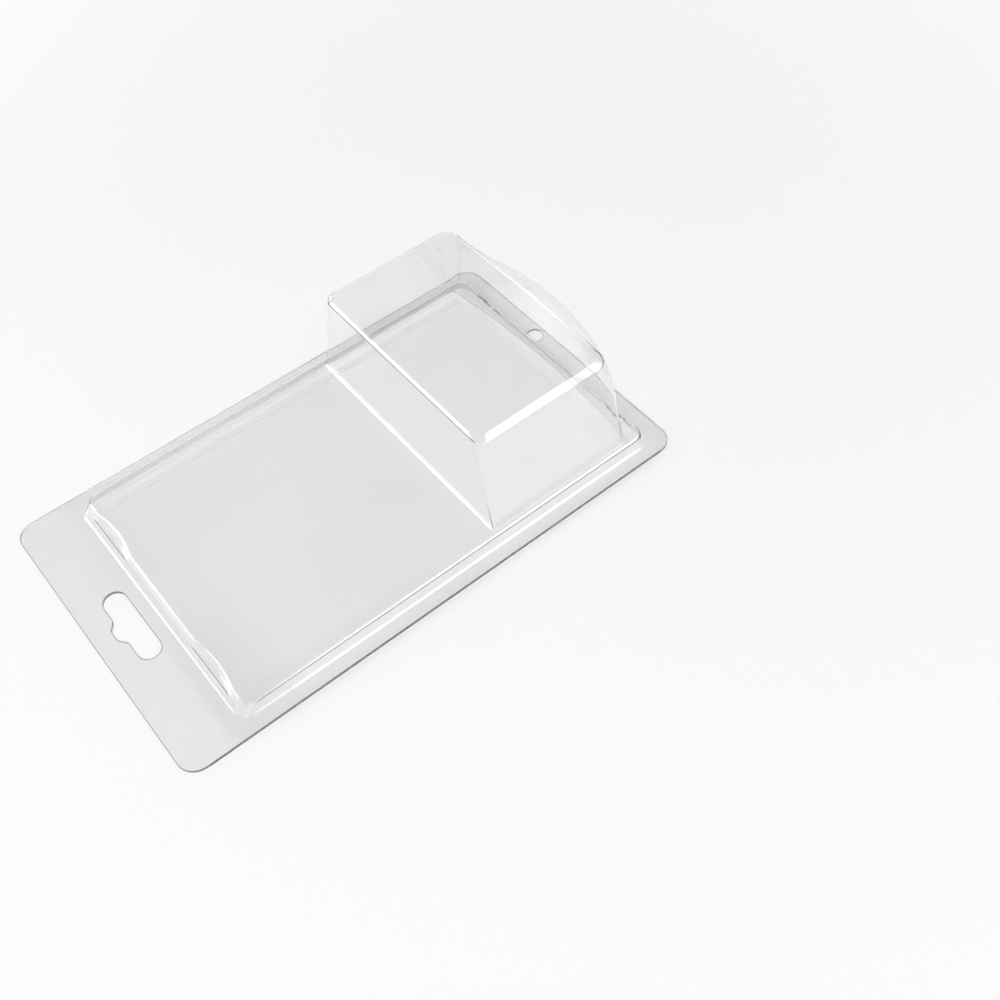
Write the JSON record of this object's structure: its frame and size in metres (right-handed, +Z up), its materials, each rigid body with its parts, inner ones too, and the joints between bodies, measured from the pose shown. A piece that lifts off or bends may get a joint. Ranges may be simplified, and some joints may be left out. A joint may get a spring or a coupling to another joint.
{
  "type": "plastic clamshell pack",
  "caption": "Clear thermoformed clamshell with a flat flange, a shallow card tray, one deep box dome and a hanging slot, folded along one long edge.",
  "frame": {"origin": "centre of the closed pack's bounding box, at the level of the back shell's underside", "axes": "+X along the length towards the domed end, +Y across away from the folded edge, +Z up through the dome"},
  "size_m": [0.1958, 0.116, 0.0427],
  "materials": {
    "clear_front": "clear glossy film",
    "clear_back": "clear glossy film",
    "clear_fold": "clear glossy folded film"
  },
  "bodies": {
    "back": {"back_shell": "clear_back", "living_hinge": "clear_fold"},
    "front": {"front_shell": "clear_front"}
  },
  "joints": [
    {"name": "fold_hinge", "type": "hinge", "parent": "back", "child": "front", "pos_m": [0, -0.0575, 0.0005], "axis": [1, 0, 0], "range_deg": [0, 180]}
  ]
}
